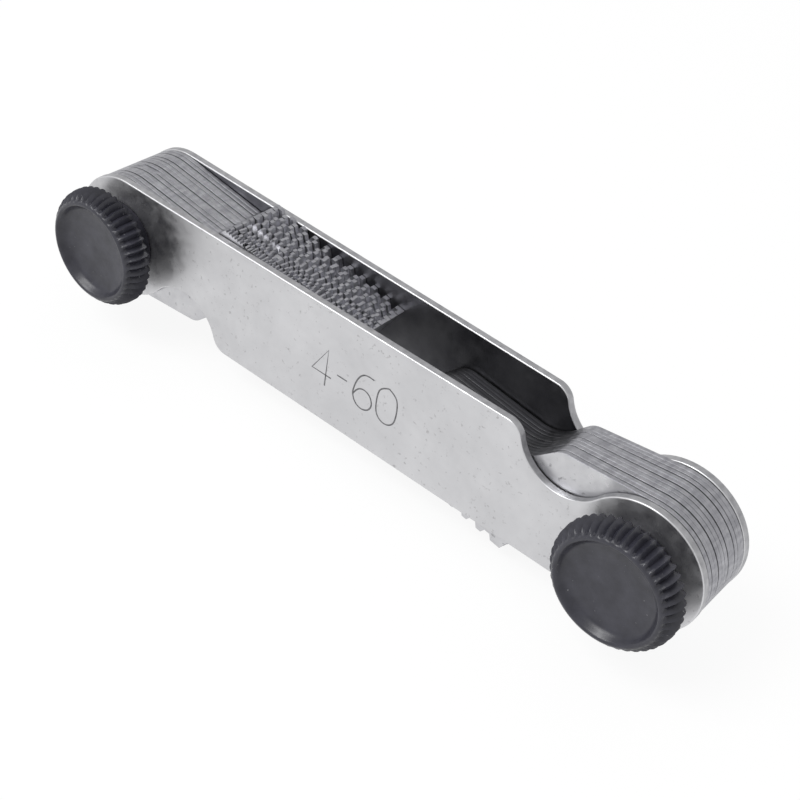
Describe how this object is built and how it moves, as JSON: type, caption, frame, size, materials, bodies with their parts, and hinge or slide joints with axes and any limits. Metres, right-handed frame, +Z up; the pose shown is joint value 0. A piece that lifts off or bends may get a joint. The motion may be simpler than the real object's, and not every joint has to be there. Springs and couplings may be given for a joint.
{
  "type": "thread pitch gauge",
  "caption": "Folding thread pitch gauge: packs of toothed steel leaves between two notched cover plates, clamped at each end by a black knurled thumb nut.",
  "frame": {"origin": "on the ground under the middle of the gauge as it stands on its long edge", "axes": "+X from the left pivot to the right one along the covers, +Y from the nuts through the pack to the rear cover, +Z up"},
  "size_m": [0.0844, 0.017, 0.0192],
  "materials": {
    "cover_steel": "satin",
    "blade_steel": "ground",
    "screw_steel": "turned",
    "nut_black": "black oxide, satin"
  },
  "bodies": {
    "case": {"front_cover": "cover_steel", "rear_cover": "cover_steel", "left_screw": "screw_steel", "right_screw": "screw_steel"},
    "fine_blade_60": {"blade_60_tpi": "blade_steel"},
    "fine_blade_48": {"blade_48_tpi": "blade_steel"},
    "fine_blade_40": {"blade_40_tpi": "blade_steel"},
    "fine_blade_36": {"blade_36_tpi": "blade_steel"},
    "fine_blade_32": {"blade_32_tpi": "blade_steel"},
    "fine_blade_30": {"blade_30_tpi": "blade_steel"},
    "fine_blade_28": {"blade_28_tpi": "blade_steel"},
    "fine_blade_26": {"blade_26_tpi": "blade_steel"},
    "fine_blade_24": {"blade_24_tpi": "blade_steel"},
    "fine_blade_22": {"blade_22_tpi": "blade_steel"},
    "fine_blade_20": {"blade_20_tpi": "blade_steel"},
    "fine_blade_18": {"blade_18_tpi": "blade_steel"},
    "fine_blade_16": {"blade_16_tpi": "blade_steel"},
    "fine_blade_14": {"blade_14_tpi": "blade_steel"},
    "coarse_blade_13": {"blade_13_tpi": "blade_steel"},
    "coarse_blade_12": {"blade_12_tpi": "blade_steel"},
    "coarse_blade_11": {"blade_11_tpi": "blade_steel"},
    "coarse_blade_10": {"blade_10_tpi": "blade_steel"},
    "coarse_blade_9": {"blade_9_tpi": "blade_steel"},
    "coarse_blade_8": {"blade_8_tpi": "blade_steel"},
    "coarse_blade_7": {"blade_7_tpi": "blade_steel"},
    "coarse_blade_6": {"blade_6_tpi": "blade_steel"},
    "coarse_blade_5": {"blade_5_tpi": "blade_steel"},
    "coarse_blade_4_5": {"blade_4_5_tpi": "blade_steel"},
    "coarse_blade_4": {"blade_4_tpi": "blade_steel"},
    "left_nut_body": {"left_nut": "nut_black"},
    "right_nut_body": {"right_nut": "nut_black"}
  },
  "joints": [
    {"name": "blade_60_tpi_pivot", "type": "hinge", "parent": "case", "child": "fine_blade_60", "pos_m": [-0.035, -0.00197, 0.01079], "axis": [-0.0009, -1, 0], "range_deg": [0, 180]},
    {"name": "blade_48_tpi_pivot", "type": "hinge", "parent": "case", "child": "fine_blade_48", "pos_m": [-0.035, -0.00135, 0.01079], "axis": [-0.0028, -1, 0], "range_deg": [0, 180]},
    {"name": "blade_40_tpi_pivot", "type": "hinge", "parent": "case", "child": "fine_blade_40", "pos_m": [-0.035, -0.00073, 0.01079], "axis": [-0.0047, -1, 0], "range_deg": [0, 180]},
    {"name": "blade_36_tpi_pivot", "type": "hinge", "parent": "case", "child": "fine_blade_36", "pos_m": [-0.035, -0.00011, 0.01079], "axis": [-0.0066, -1, 0], "range_deg": [0, 180]},
    {"name": "blade_32_tpi_pivot", "type": "hinge", "parent": "case", "child": "fine_blade_32", "pos_m": [-0.035, 0.00051, 0.01079], "axis": [-0.0085, -1, 0], "range_deg": [0, 180]},
    {"name": "blade_30_tpi_pivot", "type": "hinge", "parent": "case", "child": "fine_blade_30", "pos_m": [-0.035, 0.00113, 0.01079], "axis": [-0.0104, -0.9999, 0], "range_deg": [0, 180]},
    {"name": "blade_28_tpi_pivot", "type": "hinge", "parent": "case", "child": "fine_blade_28", "pos_m": [-0.035, 0.00175, 0.01079], "axis": [-0.0123, -0.9999, 0], "range_deg": [0, 180]},
    {"name": "blade_26_tpi_pivot", "type": "hinge", "parent": "case", "child": "fine_blade_26", "pos_m": [-0.035, 0.00237, 0.01079], "axis": [-0.0142, -0.9999, 0], "range_deg": [0, 180]},
    {"name": "blade_24_tpi_pivot", "type": "hinge", "parent": "case", "child": "fine_blade_24", "pos_m": [-0.035, 0.00299, 0.01079], "axis": [-0.0161, -0.9999, 0], "range_deg": [0, 180]},
    {"name": "blade_22_tpi_pivot", "type": "hinge", "parent": "case", "child": "fine_blade_22", "pos_m": [-0.035, 0.00361, 0.01079], "axis": [-0.018, -0.9998, 0], "range_deg": [0, 180]},
    {"name": "blade_20_tpi_pivot", "type": "hinge", "parent": "case", "child": "fine_blade_20", "pos_m": [-0.035, 0.00423, 0.01079], "axis": [-0.0199, -0.9998, 0], "range_deg": [0, 180]},
    {"name": "blade_18_tpi_pivot", "type": "hinge", "parent": "case", "child": "fine_blade_18", "pos_m": [-0.035, 0.00485, 0.01079], "axis": [-0.0218, -0.9998, 0], "range_deg": [0, 180]},
    {"name": "blade_16_tpi_pivot", "type": "hinge", "parent": "case", "child": "fine_blade_16", "pos_m": [-0.035, 0.00547, 0.01079], "axis": [-0.0237, -0.9997, 0], "range_deg": [0, 180]},
    {"name": "blade_14_tpi_pivot", "type": "hinge", "parent": "case", "child": "fine_blade_14", "pos_m": [-0.035, 0.00609, 0.01079], "axis": [-0.0256, -0.9997, 0], "range_deg": [0, 180]},
    {"name": "blade_13_tpi_pivot", "type": "hinge", "parent": "case", "child": "coarse_blade_13", "pos_m": [0.035, -0.00197, 0.01079], "axis": [-0.0012, -1, 0], "range_deg": [0, 180]},
    {"name": "blade_12_tpi_pivot", "type": "hinge", "parent": "case", "child": "coarse_blade_12", "pos_m": [0.035, -0.00135, 0.01079], "axis": [-0.0036, -1, 0], "range_deg": [0, 180]},
    {"name": "blade_11_tpi_pivot", "type": "hinge", "parent": "case", "child": "coarse_blade_11", "pos_m": [0.035, -0.00073, 0.01079], "axis": [-0.006, -1, 0], "range_deg": [0, 180]},
    {"name": "blade_10_tpi_pivot", "type": "hinge", "parent": "case", "child": "coarse_blade_10", "pos_m": [0.035, -0.00011, 0.01079], "axis": [-0.0085, -1, 0], "range_deg": [0, 180]},
    {"name": "blade_9_tpi_pivot", "type": "hinge", "parent": "case", "child": "coarse_blade_9", "pos_m": [0.035, 0.00051, 0.01079], "axis": [-0.0109, -0.9999, 0], "range_deg": [0, 180]},
    {"name": "blade_8_tpi_pivot", "type": "hinge", "parent": "case", "child": "coarse_blade_8", "pos_m": [0.035, 0.00113, 0.01079], "axis": [-0.0133, -0.9999, 0], "range_deg": [0, 180]},
    {"name": "blade_7_tpi_pivot", "type": "hinge", "parent": "case", "child": "coarse_blade_7", "pos_m": [0.035, 0.00175, 0.01079], "axis": [-0.0157, -0.9999, 0], "range_deg": [0, 180]},
    {"name": "blade_6_tpi_pivot", "type": "hinge", "parent": "case", "child": "coarse_blade_6", "pos_m": [0.035, 0.00237, 0.01079], "axis": [-0.0181, -0.9998, 0], "range_deg": [0, 180]},
    {"name": "blade_5_tpi_pivot", "type": "hinge", "parent": "case", "child": "coarse_blade_5", "pos_m": [0.035, 0.00299, 0.01079], "axis": [-0.0205, -0.9998, 0], "range_deg": [0, 180]},
    {"name": "blade_4_5_tpi_pivot", "type": "hinge", "parent": "case", "child": "coarse_blade_4_5", "pos_m": [0.035, 0.00361, 0.01079], "axis": [-0.0229, -0.9997, 0], "range_deg": [0, 180]},
    {"name": "blade_4_tpi_pivot", "type": "hinge", "parent": "case", "child": "coarse_blade_4", "pos_m": [0.035, 0.00423, 0.01079], "axis": [-0.0254, -0.9997, 0], "range_deg": [0, 180]},
    {"name": "left_nut_turn", "type": "hinge", "parent": "case", "child": "left_nut_body", "pos_m": [-0.035, -0.00323, 0.01079], "axis": [0, -1, 0], "continuous": true},
    {"name": "right_nut_turn", "type": "hinge", "parent": "case", "child": "right_nut_body", "pos_m": [0.035, -0.00323, 0.01079], "axis": [0, -1, 0], "continuous": true}
  ]
}
